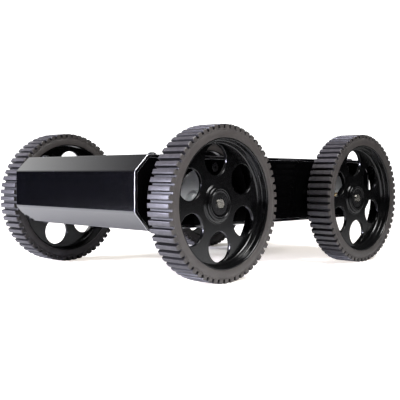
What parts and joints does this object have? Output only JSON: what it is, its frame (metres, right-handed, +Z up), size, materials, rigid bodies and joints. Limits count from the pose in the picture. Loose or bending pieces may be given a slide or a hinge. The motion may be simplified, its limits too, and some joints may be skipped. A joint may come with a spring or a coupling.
{
  "type": "four wheel robot chassis",
  "caption": "Flat sheet-metal robot chassis with sloped ends, a gearmotor inside at each corner and a cogged rubber-tyred wheel with a holed web on each output shaft.",
  "frame": {"origin": "on the ground under the middle of the body", "axes": "+X forward along the body, +Y to the left along the axles, +Z up"},
  "size_m": [0.2694, 0.1892, 0.1016],
  "materials": {
    "shell": "satin black anodised sheet",
    "side_plate": "satin black anodised plate",
    "block": "machined",
    "black_screw": "black oxide",
    "bright_screw": "zinc plated",
    "motor_mount": "brushed sheet",
    "gearbox": "die-cast zinc alloy",
    "motor_can": "drawn steel can",
    "end_cap": "moulded nylon",
    "terminal": "plated tab",
    "magnet": "ferrite",
    "bushing": "sintered bronze",
    "pin": "ground steel",
    "tyre": "moulded rubber, matt",
    "rim": "black glass-filled nylon, semi-gloss",
    "hub": "black anodised",
    "shaft": "ground steel",
    "gear": "cut steel",
    "rotor": "laminated core with enamelled windings"
  },
  "bodies": {
    "chassis": {"top_cover": "shell", "bottom_plate": "shell", "left_side_plate": "side_plate", "right_side_plate": "side_plate", "corner_blocks": "block", "cover_screws": "black_screw", "bottom_screws": "black_screw", "side_screws": "black_screw", "mount_screws": "black_screw", "gearbox_screws": "bright_screw", "motor_terminals": "terminal", "motor_magnets": "magnet", "output_bushings": "bushing", "rotor_bushings": "bushing", "idler_pins": "pin", "front_left_motor_mount": "motor_mount", "front_left_gearbox": "gearbox", "front_left_motor_can": "motor_can", "front_left_end_cap": "end_cap", "front_right_motor_mount": "motor_mount", "front_right_gearbox": "gearbox", "front_right_motor_can": "motor_can", "front_right_end_cap": "end_cap", "rear_left_motor_mount": "motor_mount", "rear_left_gearbox": "gearbox", "rear_left_motor_can": "motor_can", "rear_left_end_cap": "end_cap", "rear_right_motor_mount": "motor_mount", "rear_right_gearbox": "gearbox", "rear_right_motor_can": "motor_can", "rear_right_end_cap": "end_cap"},
    "front_left_wheel": {"front_left_tyre": "tyre", "front_left_rim": "rim", "front_left_hub": "hub", "front_left_output_shaft": "shaft"},
    "front_left_idler": {"front_left_idler_gear": "gear"},
    "front_left_rotor": {"front_left_rotor": "rotor"},
    "front_right_wheel": {"front_right_tyre": "tyre", "front_right_rim": "rim", "front_right_hub": "hub", "front_right_output_shaft": "shaft"},
    "front_right_idler": {"front_right_idler_gear": "gear"},
    "front_right_rotor": {"front_right_rotor": "rotor"},
    "rear_left_wheel": {"rear_left_tyre": "tyre", "rear_left_rim": "rim", "rear_left_hub": "hub", "rear_left_output_shaft": "shaft"},
    "rear_left_idler": {"rear_left_idler_gear": "gear"},
    "rear_left_rotor": {"rear_left_rotor": "rotor"},
    "rear_right_wheel": {"rear_right_tyre": "tyre", "rear_right_rim": "rim", "rear_right_hub": "hub", "rear_right_output_shaft": "shaft"},
    "rear_right_idler": {"rear_right_idler_gear": "gear"},
    "rear_right_rotor": {"rear_right_rotor": "rotor"}
  },
  "joints": [
    {"name": "front_left_wheel_spin", "type": "hinge", "parent": "chassis", "child": "front_left_wheel", "pos_m": [0.08145, 0.08485, 0.0508], "axis": [0, 1, 0], "continuous": true},
    {"name": "front_left_idler_spin", "type": "hinge", "parent": "chassis", "child": "front_left_idler", "pos_m": [0.08909, 0.05, 0.0543], "axis": [0, 1, 0], "continuous": true},
    {"name": "front_left_rotor_spin", "type": "hinge", "parent": "chassis", "child": "front_left_rotor", "pos_m": [0.08145, 0.03, 0.0578], "axis": [0, 1, 0], "continuous": true},
    {"name": "front_right_wheel_spin", "type": "hinge", "parent": "chassis", "child": "front_right_wheel", "pos_m": [0.08145, -0.08485, 0.0508], "axis": [0, 1, 0], "continuous": true},
    {"name": "front_right_idler_spin", "type": "hinge", "parent": "chassis", "child": "front_right_idler", "pos_m": [0.08909, -0.05, 0.0543], "axis": [0, 1, 0], "continuous": true},
    {"name": "front_right_rotor_spin", "type": "hinge", "parent": "chassis", "child": "front_right_rotor", "pos_m": [0.08145, -0.03, 0.0578], "axis": [0, 1, 0], "continuous": true},
    {"name": "rear_left_wheel_spin", "type": "hinge", "parent": "chassis", "child": "rear_left_wheel", "pos_m": [-0.08145, 0.08485, 0.0508], "axis": [0, 1, 0], "continuous": true},
    {"name": "rear_left_idler_spin", "type": "hinge", "parent": "chassis", "child": "rear_left_idler", "pos_m": [-0.07381, 0.05, 0.0543], "axis": [0, 1, 0], "continuous": true},
    {"name": "rear_left_rotor_spin", "type": "hinge", "parent": "chassis", "child": "rear_left_rotor", "pos_m": [-0.08145, 0.03, 0.0578], "axis": [0, 1, 0], "continuous": true},
    {"name": "rear_right_wheel_spin", "type": "hinge", "parent": "chassis", "child": "rear_right_wheel", "pos_m": [-0.08145, -0.08485, 0.0508], "axis": [0, 1, 0], "continuous": true},
    {"name": "rear_right_idler_spin", "type": "hinge", "parent": "chassis", "child": "rear_right_idler", "pos_m": [-0.07381, -0.05, 0.0543], "axis": [0, 1, 0], "continuous": true},
    {"name": "rear_right_rotor_spin", "type": "hinge", "parent": "chassis", "child": "rear_right_rotor", "pos_m": [-0.08145, -0.03, 0.0578], "axis": [0, 1, 0], "continuous": true}
  ],
  "couplings": [
    {"joint": "front_left_idler_spin", "follows": "front_left_wheel_spin", "ratio": -2.5},
    {"joint": "front_left_rotor_spin", "follows": "front_left_wheel_spin", "ratio": 6.25},
    {"joint": "front_right_idler_spin", "follows": "front_right_wheel_spin", "ratio": -2.5},
    {"joint": "front_right_rotor_spin", "follows": "front_right_wheel_spin", "ratio": 6.25},
    {"joint": "rear_left_idler_spin", "follows": "rear_left_wheel_spin", "ratio": -2.5},
    {"joint": "rear_left_rotor_spin", "follows": "rear_left_wheel_spin", "ratio": 6.25},
    {"joint": "rear_right_idler_spin", "follows": "rear_right_wheel_spin", "ratio": -2.5},
    {"joint": "rear_right_rotor_spin", "follows": "rear_right_wheel_spin", "ratio": 6.25}
  ]
}
